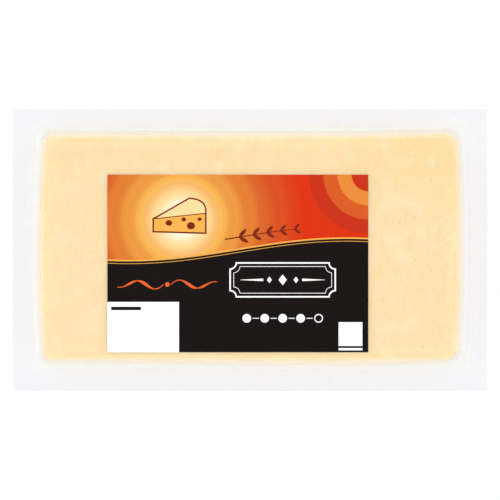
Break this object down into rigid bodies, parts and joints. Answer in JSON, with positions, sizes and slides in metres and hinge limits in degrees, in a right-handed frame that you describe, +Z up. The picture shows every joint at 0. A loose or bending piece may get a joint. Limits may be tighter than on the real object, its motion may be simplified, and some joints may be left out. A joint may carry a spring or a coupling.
{
  "type": "sealed pack of cheddar cheese",
  "caption": "Rectangular block of pale cheddar in a clear vacuum film with a flat seal flange all round, and a rectangular label on its upper face.",
  "frame": {"origin": "on the surface that the pack lies on, under the middle of the seal flange's rectangle", "axes": "+X along the block, +Z up out of the labelled face, +Y across the block towards the top edge of the label"},
  "size_m": [0.186, 0.1106, 0.0355],
  "materials": {
    "wrapped_cheese": "gloss",
    "label_print": "satin"
  },
  "bodies": {
    "root": {"sealed_pack": "wrapped_cheese", "label": "label_print"}
  },
  "joints": []
}
